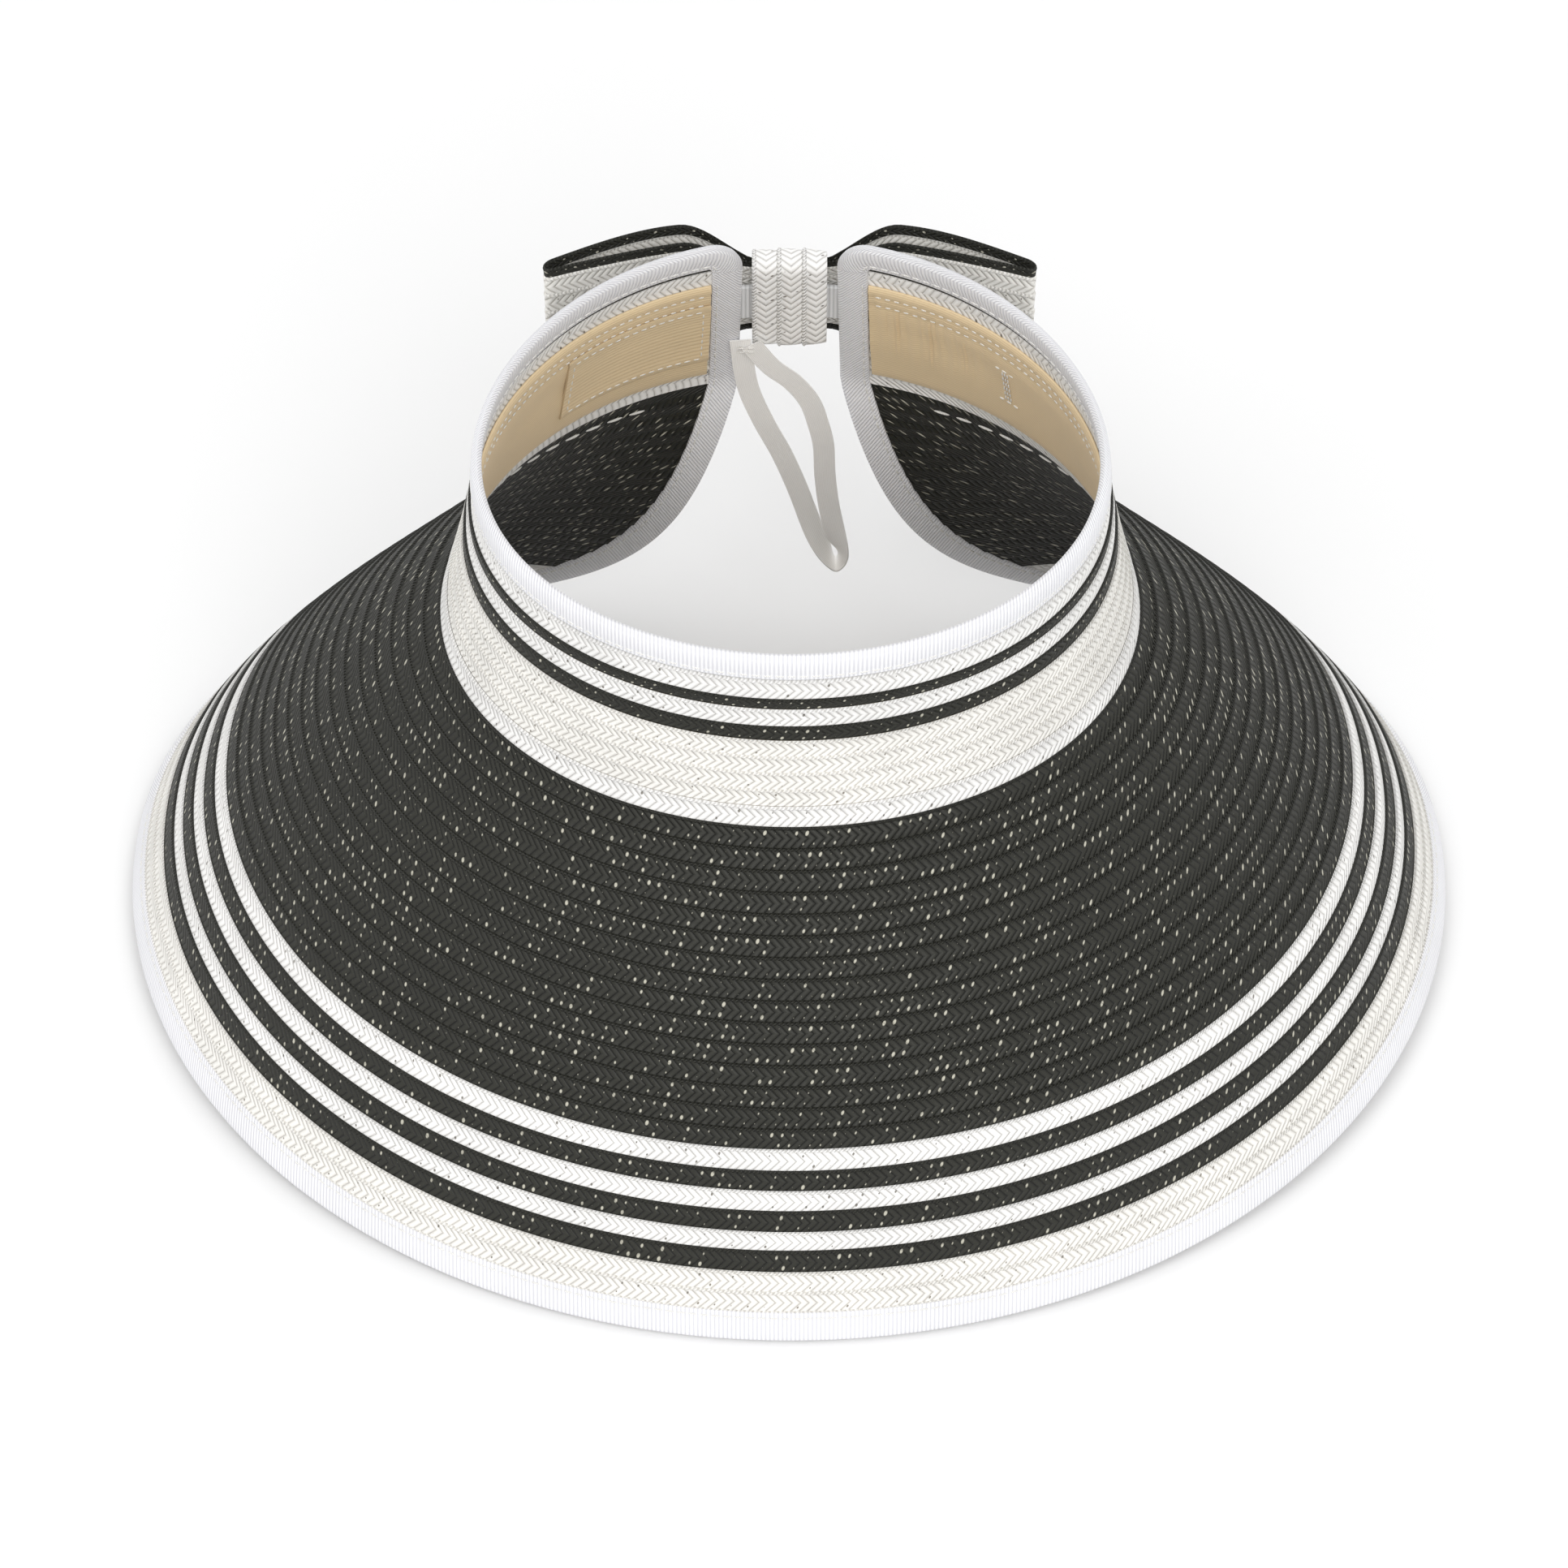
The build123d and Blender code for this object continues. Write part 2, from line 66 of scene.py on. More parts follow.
def sheet_slope(angle, s):
    """Slope of the sheet below the horizontal, in radians."""
    c, c2 = np.cos(angle), np.cos(2 * angle)
    up = np.minimum(s, 0) / (-CROWN_CURL_ROWS * ROW) - 0.5
    crown = 81.0 + 4.3 * c + 2.5 * c2 + (10.0 + 11.6 * c) * up
    out = np.maximum(s, 0) / (CURL_ROWS * ROW) - 0.5
    brim = 50.8 - 1.5 * c + 3.0 * c2 + (23.8 + 9.5 * c - 5.0 * c2) * out
    brim = brim + np.maximum(0, -c) ** 3 * (30.0 - 47.3 * out)
    mix = np.clip(s / (2 * CREASE_BLEND) + 0.5, 0, 1)
    mix = mix * mix * (3 - 2 * mix)
    return np.radians(crown + (brim - crown) * mix)


def on_sheet(degrees, s, lift=0.0, steps=36):
    """Points of the sheet, raised by lift towards its outer side, in millimetres."""
    degrees, s, lift = np.broadcast_arrays(np.asarray(degrees, float), s, lift)
    angle = np.radians(degrees)
    across, drop = np.zeros(s.shape), np.zeros(s.shape)
    for i in range(steps):
        phi = sheet_slope(angle, (i + 0.5) / steps * s)
        across += np.cos(phi) * s / steps
        drop += np.sin(phi) * s / steps
    phi = sheet_slope(angle, s)
    across, drop = across + lift * np.sin(phi), drop - lift * np.cos(phi)
    out = np.stack([HALF_DEPTH * np.sin(angle), -HALF_WIDTH * np.cos(angle), np.zeros(s.shape)], -1)
    out /= np.linalg.norm(out, axis=-1, keepdims=True)
    base = np.stack([HALF_WIDTH * np.sin(angle), -HALF_DEPTH * np.cos(angle),
                     -SIDE_DIP * np.sin(angle) ** 2 - drop], -1)
    return base + out * across[..., None]


def sheet_end(s, inset=0.0):
    """Angle at which the straw ends at each distance from the crease."""
    s = np.asarray(s, float)
    end = END_ANGLE - inset / ARC_PER_DEGREE
    rise = np.clip(CORNER_RADIUS - np.maximum(s + CROWN_ROWS * ROW, 0), 0, CORNER_RADIUS)
    back = CORNER_RADIUS - np.sqrt(CORNER_RADIUS ** 2 - rise ** 2)
    part = np.clip(s / (BRIM_ROWS * ROW - inset), 0, 1)
    share = (1 - part ** 1.1) ** (1 / 2.6)
    cut = FULL_BRIM_ANGLE + (end - FULL_BRIM_ANGLE) * share
    return np.where(s <= 0, end - back / ARC_PER_DEGREE, cut)


def inward(path, distance, lift=0.0):
    """Points a distance inside an edge path, given as rows of (degrees, s). The sign picks the side."""
    degrees, s = path[:, 0], path[:, 1]
    here = on_sheet(degrees, s)
    along = (on_sheet(degrees + 0.25, s) - here) * 4
    down = (on_sheet(degrees, s + 0.25) - here) * 4
    step = np.empty_like(path)
    step[1:-1] = path[2:] - path[:-2]
    step[0], step[-1] = path[1] - path[0], path[-1] - path[-2]
    run = along * step[:, :1] + down * step[:, 1:]
    normal = np.cross(along, down)
    side = np.cross(normal, run)
    side *= distance / np.linalg.norm(side, axis=1, keepdims=True)
    aa, ad, dd = (along * along).sum(1), (along * down).sum(1), (down * down).sum(1)
    sa, sd = (side * along).sum(1), (side * down).sum(1)
    span = aa * dd - ad * ad
    return on_sheet(degrees + (sa * dd - sd * ad) / span, s + (sd * aa - sa * ad) / span, lift)


# %% [markdown]
# Every piece here is cloth or straw: a long surface. A grid is added and its points are moved onto the
# surface. Its UV map keeps real lengths, so that a braid or a rib has its true size everywhere.

# %% A woven or sewn surface from a grid
def lengths_along(points):
    """Length along each long line, from its middle, in millimetres."""
    gaps = np.linalg.norm(np.diff(points, axis=1), axis=2)
    lengths = np.concatenate([np.zeros((len(points), 1)), np.cumsum(gaps, axis=1)], axis=1)
    return lengths - lengths[:, -1:] / 2


def woven_piece(name, points, across, body, material, nodes, thick=0.0, joined=False, wall=0.0):
    """Surface through points[line][place]. across is each line's UV value: a row number or a width."""
    lines, places = points.shape[:2]
    bpy.ops.mesh.primitive_grid_add(x_subdivisions=places - 1, y_subdivisions=lines - 1, size=1)
    piece = bpy.context.object
    piece.name = piece.data.name = name
    mesh = piece.data
    flat = np.empty(len(mesh.vertices) * 3)
    mesh.vertices.foreach_get("co", flat)
    flat = flat.reshape(-1, 3)
    place = np.rint((flat[:, 0] + 0.5) * (places - 1)).astype(int)
    line = np.rint((flat[:, 1] + 0.5) * (lines - 1)).astype(int)
    along = lengths_along(points)[line, place]
    width = np.asarray(across, float)
    width = width[line] if width.ndim == 1 else width[line, place]
    mesh.vertices.foreach_set("co", ((points[line, place] + CREASE) / 1000).ravel())
    corner = np.empty(len(mesh.loops), dtype=np.int32)
    mesh.loops.foreach_get("vertex_index", corner)
    uv = mesh.uv_layers.active or mesh.uv_layers.new()
    uv.name = "weave"
    uv.data.foreach_set("uv", np.stack([along, width], 1)[corner].ravel())
    mesh.update()
    if thick:
        solidify = piece.modifiers.new("thickness", "SOLIDIFY")
        solidify.thickness = thick / 1000
        solidify.offset = wall
        bpy.ops.object.modifier_apply(modifier="thickness")
    bpy.ops.object.mode_set(mode="EDIT")
    bpy.ops.mesh.select_all(action="SELECT")
    if joined:
        bpy.ops.mesh.remove_doubles(threshold=0.00001)
        bpy.ops.mesh.fill_holes(sides=0)
        bpy.ops.mesh.select_all(action="SELECT")
    bpy.ops.mesh.normals_make_consistent(inside=False)
    bpy.ops.object.mode_set(mode="OBJECT")
    bpy.ops.object.shade_smooth_by_angle(angle=math.radians(45))
    mesh.materials.append(material)
    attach(piece, body)
    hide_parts(*nodes)
    piece.select_set(False)
    return piece


# %% [markdown]
# Materials start from a colour and a few measured sizes. One helper turns a hex colour to linear light,
# and one adds a node with its settings and links.

# %% Helpers for colour and nodes
def linear(hex_colour):
    values = [int(hex_colour[i:i + 2], 16) / 255 for i in (0, 2, 4)]
    return [v / 12.92 if v <= 0.04045 else ((v + 0.055) / 1.055) ** 2.4 for v in values] + [1.0]


def add(tree, kind, inputs=None, **settings):
    node = tree.nodes.new("ShaderNode" + kind)
    for key, value in settings.items():
        setattr(node, key, value)
    for key, value in (inputs or {}).items():
        if isinstance(value, bpy.types.Node):
            value = value.outputs[0]
        if isinstance(value, bpy.types.NodeSocket):
            tree.links.new(value, node.inputs[key])
        else:
            node.inputs[key].default_value = value
    return node


def start_material(name, roughness, specular=0.5, sheen=0.0):
    """New material: its tree, its shader, and the two directions of the weave in millimetres or rows."""
    material = bpy.data.materials.new(name)
    material.use_nodes = True
    tree = material.node_tree
    shader = tree.nodes["Principled BSDF"]
    shader.inputs["Roughness"].default_value = roughness
    shader.inputs["Specular IOR Level"].default_value = specular
    shader.inputs["Sheen Weight"].default_value = sheen
    weave = add(tree, "SeparateXYZ", {0: add(tree, "UVMap", uv_map="weave")})
    return material, tree, shader, weave.outputs[0], weave.outputs[1]


def finish_surface(tree, shader, colour, height, depth_mm):
    bump = add(tree, "Bump", {"Height": height, "Distance": depth_mm / 1000, "Strength": 1.0})
    tree.links.new(colour.outputs[0] if isinstance(colour, bpy.types.Node) else colour,
                   shader.inputs["Base Color"])
    tree.links.new(bump.outputs[0], shader.inputs["Normal"])


# %% [markdown]
# Straw braid is plaited paper yarn, matt with a faint shine. Its ends cross in a herringbone about
# 4.3 mm long. Each plait leaves a small gap, where light shows through the black rows and shade
# shows in the pale ones; that light and shade are painted into the gaps' colour. The grooves between
# the yarns are painted darker as shade. The yarns are drawn a little coarser than real so that they show.

# %% Straw braid
PLAIT = 4.3


def straw_braid(name, yarn, groove_shade, gap, gap_share, gap_radius, gaps_per_plait=1.0, roughness=0.5):
    material, tree, shader, along, row = start_material(name, roughness, 0.35)
    across = add(tree, "Math", {0: row}, operation="FRACT")
    number = add(tree, "Math", {0: row}, operation="FLOOR")
    fold = add(tree, "Math", {0: add(tree, "Math", {0: across, 1: 0.56}, operation="SUBTRACT")},
               operation="ABSOLUTE")
    slant = add(tree, "Math", {0: fold, 1: 2.6}, operation="MULTIPLY")
    shift = add(tree, "Math", {0: number, 1: 0.37, 2: slant}, operation="MULTIPLY_ADD")
    phase = add(tree, "Math", {0: along, 1: 2 / PLAIT, 2: shift}, operation="MULTIPLY_ADD")
    wave = add(tree, "Math", {0: add(tree, "Math", {0: phase, 1: math.pi}, operation="MULTIPLY")},
               operation="SINE")
    yarns = add(tree, "Math", {0: add(tree, "Math", {0: wave}, operation="ABSOLUTE"), 1: 0.55},
                operation="POWER")
    cord_twist = add(tree, "Math", {0: along, 1: 2.9, 2: add(
        tree, "Math", {0: across, 1: 14.0}, operation="MULTIPLY")}, operation="MULTIPLY_ADD")
    cord_yarns = add(tree, "Math", {0: add(tree, "Math", {0: cord_twist}, operation="SINE")},
                     operation="ABSOLUTE")
    on_cord = add(tree, "Math", {0: across, 1: 0.17}, operation="LESS_THAN")
    height = add(tree, "Mix", {"Factor": on_cord, 2: yarns, 3: cord_yarns})
    half_row = add(tree, "Math", {0: row, 1: 2.0}, operation="MULTIPLY")
    half_number = add(tree, "Math", {0: half_row}, operation="FLOOR")
    half_across = add(tree, "Math", {0: half_row}, operation="FRACT")
    cell = add(tree, "Math", {0: along, 1: gaps_per_plait / PLAIT, 2: add(
        tree, "Math", {0: half_number, 1: 0.37}, operation="MULTIPLY")}, operation="MULTIPLY_ADD")
    cell_place = add(tree, "Math", {0: add(tree, "Math", {0: cell}, operation="FRACT"), 1: 0.5},
                     operation="SUBTRACT")
    dx = add(tree, "Math", {0: cell_place, 1: PLAIT / gaps_per_plait}, operation="MULTIPLY")
    dy = add(tree, "Math", {0: add(tree, "Math", {0: half_across, 1: 0.62}, operation="SUBTRACT"), 1: 1.9},
             operation="MULTIPLY")
    lean = add(tree, "Math", {0: dy, 1: 0.35, 2: dx}, operation="MULTIPLY_ADD")
    away = add(tree, "VectorMath", {0: add(tree, "CombineXYZ", {0: lean, 1: dy})}, operation="LENGTH")
    chance = add(tree, "TexWhiteNoise", {"Vector": add(tree, "CombineXYZ", {
        0: add(tree, "Math", {0: cell}, operation="FLOOR"), 1: half_number})}, noise_dimensions="2D")
    size = add(tree, "MapRange", {0: chance, 1: 1 - gap_share, 2: 1.0, 3: 0.0, 4: gap_radius})
    closeness = add(tree, "Math", {0: size, 1: away.outputs["Value"]}, operation="SUBTRACT")
    hole = add(tree, "MapRange", {0: closeness, 1: -0.05, 2: 0.12, 3: 0.0, 4: 1.0})
    # Painted shade: the groove colour darkens the yarns where the plait is low.
    tone_with_groove_shade = add(tree, "Mix", {"Factor": yarns, 6: linear(groove_shade), 7: linear(yarn)}, data_type="RGBA")
    place = add(tree, "TexCoord").outputs["Object"]
    mottle = add(tree, "TexNoise", {"Vector": place, "Scale": 55.0, "Detail": 3.0})
    shade = add(tree, "MapRange", {0: mottle, 1: 0.3, 2: 0.7, 3: 0.93, 4: 1.04})
    toned = add(tree, "VectorMath", {0: tone_with_groove_shade.outputs[2], 1: shade}, operation="MULTIPLY")
    # Painted light and shade in the gaps: a light colour where light shows through the black rows, a dark
    # colour where shade fills the gaps of the pale rows.
    colour = add(tree, "Mix", {"Factor": hole, 6: toned, 7: linear(gap)}, data_type="RGBA")
    sunk = add(tree, "Math", {0: height, 1: add(tree, "Math", {0: hole, 1: 0.8}, operation="MULTIPLY")},
               operation="SUBTRACT")
    finish_surface(tree, shader, colour.outputs[2], sunk, 0.34)
    return material


# The second colour is painted shade in the grooves between the yarns; the third is the gap colour, painted
# light in the black braid and painted shade in the white and ivory braids.
black_braid = straw_braid("paper_straw_braid_black", "26261f", "0c0c0a", "bdbaab", 0.75, 0.5, 1.6)
white_braid = straw_braid("paper_straw_braid_white", "f8f7f5", "d9d7d2", "8d8880", 0.5, 0.33)
ivory_braid = straw_braid("paper_straw_braid_ivory", "f6f4ef", "d8d4cb", "9a9388", 0.4, 0.3)

# %% [markdown]
# Grosgrain is a ribbon with cross ribs from a thick weft. The real ribs are 0.65 mm apart and are drawn
# at 1.1 mm so that they show. The sweatband is a fine cotton twill, the loop a satin ribbon whose long
# floats give a soft gloss, and the stitches are twisted polyester thread.

# %% Ribbon, cloth and thread
def ribbed_cloth(name, raised, sunk, pitch, direction, depth, roughness, sheen=0.0, mottle_scale=30.0):
    """Cloth with fine ribs: direction 0 counts them along the piece, and 1 across it. The sunk colour is
    painted shade in the grooves between them.
    """
    material, tree, shader, *weave = start_material(name, roughness, 0.4, sheen)
    turn = add(tree, "Math", {0: weave[direction], 1: math.pi / pitch}, operation="MULTIPLY")
    rib = add(tree, "Math", {0: add(tree, "Math", {0: turn}, operation="SINE")}, operation="ABSOLUTE")
    # Painted shade: the sunk colour darkens the grooves between the ribs.
    tone_with_groove_shade = add(tree, "Mix", {"Factor": rib, 6: linear(sunk), 7: linear(raised)}, data_type="RGBA")
    place = add(tree, "TexCoord").outputs["Object"]
    mottle = add(tree, "TexNoise", {"Vector": place, "Scale": mottle_scale, "Detail": 4.0})
    shade = add(tree, "MapRange", {0: mottle, 1: 0.3, 2: 0.7, 3: 0.96, 4: 1.02})
    toned = add(tree, "VectorMath", {0: tone_with_groove_shade.outputs[2], 1: shade}, operation="MULTIPLY")
    fibre = add(tree, "TexNoise", {"Vector": place, "Scale": 900.0, "Detail": 2.0})
    height = add(tree, "Math", {0: fibre, 1: 0.35, 2: rib}, operation="MULTIPLY_ADD")
    finish_surface(tree, shader, toned, height, depth)
    return material


# The second colour of each cloth is painted shade in the grooves between its ribs.
grosgrain = ribbed_cloth("grosgrain_ribbon_white", "f6f6f8", "dcdce2", 1.1, 0, 0.16, 0.6)
twill = ribbed_cloth("cotton_twill_tan", "ecd6b0", "dcc298", 0.9, 1, 0.06, 0.85, 0.15)
satin = ribbed_cloth("satin_ribbon_white", "fbfaf8", "f0eeeb", 0.5, 1, 0.03, 0.4)
webbing = ribbed_cloth("woven_webbing_white", "f2f2f2", "d2d2d2", 1.2, 0, 0.15, 0.7)
thread = ribbed_cloth("polyester_thread_white", "f4f3f0", "d8d6d0", 0.5, 0, 0.05, 0.5)

# %% [markdown]
# Each row of braid lies over the lower edge of the next and has a thin cord along its own upper edge.
# That shingled profile is real geometry here: one list of heights is repeated for each row.

# %% Bands of sewn straw braid
BRAID_PROFILE = [  # share of the row from its upper edge, and height in millimetres
    (0.0, 0.02), (0.05, 0.5), (0.11, 0.58), (0.17, 0.26), (0.45, 0.24), (0.75, 0.1), (0.97, -0.1)]
BRAID_LIFT = 0.28
LOWER_EDGE = -0.1
BRAID_THICKNESS = 0.9
BRAID_END_GAP = 0.6  # the braid stops this far inside the fold of the ribbon


def braid_band(name, first, last, rows, material, places=380, first_number=0):
    pitch = (last - first) / rows
    levels, lifts, numbers = [], [], []
    for row in range(math.ceil(rows)):
        for share, height in BRAID_PROFILE:
            if row + share < rows:
                levels.append((first + (row + share) * pitch) * ROW)
                lifts.append(BRAID_LIFT + height)
                numbers.append(first_number + row + share)
    levels.append(last * ROW)
    lifts.append(BRAID_LIFT + LOWER_EDGE)
    numbers.append(first_number + rows - 0.01)
    levels, lifts = np.array(levels), np.array(lifts)
    reach = sheet_end(levels, BRAID_END_GAP)
    degrees = reach[:, None] * np.linspace(-1, 1, places)[None, :]
    points = on_sheet(degrees, levels[:, None], lifts[:, None])
    return woven_piece("straw_" + name, points, numbers, "visor", material, [name], BRAID_THICKNESS,
                       wall=1.0)


STRIPES = [14.83, 15.85, 16.83, 17.8, 18.83, 19.75, 20.83]
CROWN_TOP, BRIM_EDGE = -CROWN_ROWS + 0.06, BRIM_ROWS - 0.06
braid_band("crown_black_braid_top", CROWN_TOP, -9.0, 2, black_braid, first_number=60)
braid_band("crown_white_braid_upper", -9.0, -7.67, 1, white_braid, first_number=64)
braid_band("crown_black_braid_middle", -7.67, -7.0, 1, black_braid, first_number=67)
braid_band("crown_white_braid_lower", -7.0, -5.89, 1, white_braid, first_number=70)
braid_band("crown_black_braid_lower", -5.89, -5.0, 1, black_braid, first_number=73)
braid_band("crown_ivory_braid", -5.0, -1.1, 4, ivory_braid, first_number=80)
braid_band("crease_white_braid", -1.1, 0.0, 1, white_braid, first_number=90)
braid_band("brim_black_braid", 0.0, STRIPES[0], 15, black_braid, first_number=0)
for i in range(6):
    shade, stripe_material = (("white", white_braid), ("black", black_braid))[i % 2]
    part_of_brim = ("inner", "middle", "outer")[i // 2]
    braid_band(f"brim_{shade}_stripe_{part_of_brim}", STRIPES[i], STRIPES[i + 1], 1, stripe_material,
               first_number=20 + 3 * i)
braid_band("brim_ivory_braid", STRIPES[6], BRIM_EDGE, 3.41, ivory_braid, first_number=50)

# %% [markdown]
# The binding is a 16 mm ribbon folded over the edge and sewn through both leaves. Its section is a
# rounded fold with a shallow groove where the seam pulls it down, swept along each edge of the straw.

# %% Ribbon folded over the edges
LEAF = [  # depth in from the fold, and height over the sheet
    (8.0, 0.45), (7.95, 1.05), (7.4, 1.3), (6.55, 1.12), (5.6, 1.36), (3.0, 1.44), (1.0, 1.36), (0.0, 1.0)]
FOLD = LEAF + [(-0.5, 0.0)] + [(depth, -lift) for depth, lift in reversed(LEAF)]
SEAM_DEPTH = 6.5
SEAM_LIFT = 1.2
RIBBON_THICKNESS = 0.35
RIBBON_WIDTH = 18  # measured round the fold


def crown_top_path():
    top = -CROWN_ROWS * ROW
    turn = CORNER_RADIUS / ARC_PER_DEGREE
    arc = np.linspace(0, math.pi / 2, 17)
    corner = np.stack([END_ANGLE - turn + turn * np.cos(arc), top + CORNER_RADIUS * (1 - np.sin(arc))], 1)
    level = np.stack([np.linspace(END_ANGLE - turn, turn - END_ANGLE, 260), np.full(260, top)], 1)
    return np.concatenate([corner, level[1:-1], corner[::-1] * [-1, 1]])


def rear_path():
    top = -CROWN_ROWS * ROW + CORNER_RADIUS
    down = np.stack([np.full(30, END_ANGLE), np.linspace(top, -1.0, 30)], 1)
    s = BRIM_ROWS * ROW * np.sin(np.linspace(0.02, math.pi / 2, 110))
    return np.concatenate([down, np.stack([sheet_end(s), s], 1)])


def brim_path():
    return np.stack([np.linspace(-FULL_BRIM_ANGLE, FULL_BRIM_ANGLE, 300), np.full(300, BRIM_ROWS * ROW)], 1)


EDGES = {
    "crown_top_binding": (crown_top_path(), -1, "crown_binding_thread"),
    "left_rear_binding": (rear_path(), 1, "left_binding_thread"),
    "right_rear_binding": (rear_path() * [-1, 1], -1, "right_binding_thread"),
    "brim_edge_binding": (brim_path(), -1, "brim_binding_thread"),
}
for name, (path, side, _) in EDGES.items():
    points = np.stack([inward(path, side * depth, lift) for depth, lift in FOLD])
    widths = np.linspace(0, RIBBON_WIDTH, len(FOLD))
    woven_piece("ribbon_" + name, points, widths, "visor", grosgrain, [name], RIBBON_THICKNESS,
                wall=-side)

# %% [markdown]
# Stitches are small and many, so one low stitch is shaped from a few rings of points and copied along
# each seam. The copies of one seam are a single mesh.

# %% Rows of stitches
STITCH_RINGS = [(-0.5, 0.0), (-0.42, 0.55), (-0.2, 1.0), (0.2, 1.0), (0.42, 0.55), (0.5, 0.0)]
STITCH_SIDES = 6
STITCH_TIP = 0.05


def stitch_row(name, seams, pitch, share, thickness, nodes):
    """Stitches along each seam, a list of points and the outward direction at each, in millimetres."""
    sides = STITCH_SIDES
    vertices, faces = [], []
    for points, outward in seams:
        gaps = np.linalg.norm(np.diff(points, axis=0), axis=1)
        run = np.concatenate([[0], np.cumsum(gaps)])
        count = max(1, int(run[-1] / pitch))
        for i in range(count):
            middle = (i + 0.5) * run[-1] / count
            half = share * pitch / 2
            ends = [np.array([np.interp(t, run, points[:, k]) for k in range(3)])
                    for t in (middle - half, middle + half)]
            up = np.array([np.interp(middle, run, outward[:, k]) for k in range(3)])
            direction = ends[1] - ends[0]
            side = np.cross(direction, up)
            side /= np.linalg.norm(side)
            up = np.cross(side, direction)
            up /= np.linalg.norm(up)
            first = len(vertices)
            for place, size in STITCH_RINGS:
                centre = (ends[0] + ends[1]) / 2 + direction * place
                for k in range(sides):
                    a = 2 * math.pi * k / sides
                    spoke = side * math.cos(a) + up * math.sin(a)
                    vertices.append(centre + spoke * thickness / 2 * max(size, STITCH_TIP))
            for ring in range(len(STITCH_RINGS) - 1):
                for k in range(sides):
                    a, b = first + ring * sides + k, first + ring * sides + (k + 1) % sides
                    faces.append((a, b, b + sides, a + sides))
            faces.append(tuple(first + k for k in reversed(range(sides))))
            faces.append(tuple(first + (len(STITCH_RINGS) - 1) * sides + k for k in range(sides)))
    mesh = bpy.data.meshes.new(name)
    mesh.from_pydata([tuple((v + CREASE) / 1000) for v in vertices], [], faces)
    uv = mesh.uv_layers.new(name="weave")
    places = np.array([vertices[loop.vertex_index] for loop in mesh.loops])
    uv.data.foreach_set("uv", np.stack([places[:, 0] + places[:, 1], places[:, 2]], 1).ravel())
    piece = bpy.data.objects.new(name, mesh)
    bpy.context.collection.objects.link(piece)
    bpy.context.view_layer.objects.active = piece
    bpy.ops.object.mode_set(mode="EDIT")
    bpy.ops.mesh.select_all(action="SELECT")
    bpy.ops.mesh.normals_make_consistent(inside=False)
    bpy.ops.object.mode_set(mode="OBJECT")
    for face in mesh.polygons:
        face.use_smooth = True
    mesh.materials.append(thread)
    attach(piece, "visor")
    if nodes:
        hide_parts(*nodes)
    piece.select_set(False)
    print(name, len(vertices) // (sides * len(STITCH_RINGS)), "stitches")


def seam_line(path, side, lift):
    """Seam a set distance inside an edge, with its outward directions."""
    points = inward(path, side * SEAM_DEPTH, lift)
    return points, (inward(path, side * SEAM_DEPTH, lift * 2) - points) / abs(lift)


for name, (path, side, node) in EDGES.items():
    seams = [seam_line(path[3:-3], side, SEAM_LIFT), seam_line(path[3:-3], side, -SEAM_LIFT)]
    stitch_row("stitches_" + node, seams, 3.0, 0.78, 0.5, [node])


def shell_seam(first, last, s, lift, places=240):
    degrees = np.linspace(first, last, places)
    points = on_sheet(degrees, s, lift)
    return points, (on_sheet(degrees, s, lift * 2) - points) / abs(lift)


stitch_row("stitches_under_crease", [shell_seam(-155, 155, 4.6, -0.75)], 6.6, 0.72, 0.75, ["crease_thread"])

# %% [markdown]
# The sweatband is a folded cotton strip. It is hemmed at the top with two rows of stitches, lies in soft
# lengthwise folds, and is gathered where it is eased in towards one end.

# %% Sweatband
SWEAT_END = END_ANGLE - 9.0 / ARC_PER_DEGREE
SWEAT_TOP, SWEAT_ROWS, SWEAT_TALL = -7.9, 7.0, 39
HEM_SEAMS = (0.085, 0.18)  # shares of the height at which the hem is sewn
HEM_LIFT = -1.9
SWEAT_PROFILE = [  # share of the height from the top, and height over the sheet
    (0.0, -0.8), (0.0, -1.5), (0.02, -2.0), (0.05, -2.12), (0.085, -1.72), (0.12, -2.0), (0.15, -2.02),
    (0.18, -1.7), (0.22, -1.95), (0.3, -2.05), (0.38, -1.9), (0.47, -1.75), (0.56, -1.92), (0.66, -2.0),
    (0.76, -1.85), (0.86, -1.75), (0.93, -1.8), (0.98, -1.6), (1.0, -1.3), (1.0, -0.8), (0.5, -0.75),
    (0.0, -0.8),
]


def sweatband():
    degrees = np.linspace(-SWEAT_END, SWEAT_END, 720)
    rows = []
    for share, lift in SWEAT_PROFILE:
        s = (SWEAT_TOP + SWEAT_ROWS * share) * ROW
        soft = 0.16 * np.sin(degrees * 0.11 + share * 9) * math.sin(math.pi * share)
        gather = np.clip((degrees - 128) / 25, 0, 1) * math.sin(math.pi * min(share * 1.15, 1))
        crimp = 0.3 * gather * np.sin(degrees * 4.1 + 2.2 * np.sin(degrees * 0.9) + share * 1.5)
        inner = lift < -1.4
        rows.append(on_sheet(degrees, s, lift + (soft + crimp if inner else 0)))
    widths = np.cumsum([0] + [SWEAT_TALL * abs(b[0] - a[0]) + abs(b[1] - a[1])
                              for a, b in zip(SWEAT_PROFILE, SWEAT_PROFILE[1:])])
    return woven_piece("cotton_sweatband", np.stack(rows), widths, "visor", twill, ["sweatband"], joined=True)


sweatband()
hem_seams = [shell_seam(-SWEAT_END + 1, SWEAT_END - 1, (SWEAT_TOP + SWEAT_ROWS * share) * ROW, HEM_LIFT)
             for share in HEM_SEAMS]
stitch_row("stitches_sweatband_hem", hem_seams, 2.6, 0.62, 0.4, ["sweatband_threads"])

# %% [markdown]
# At one end the sweatband is turned back and sewn down in a rectangle, and at the other a short bar tack
# holds the strap's tail.

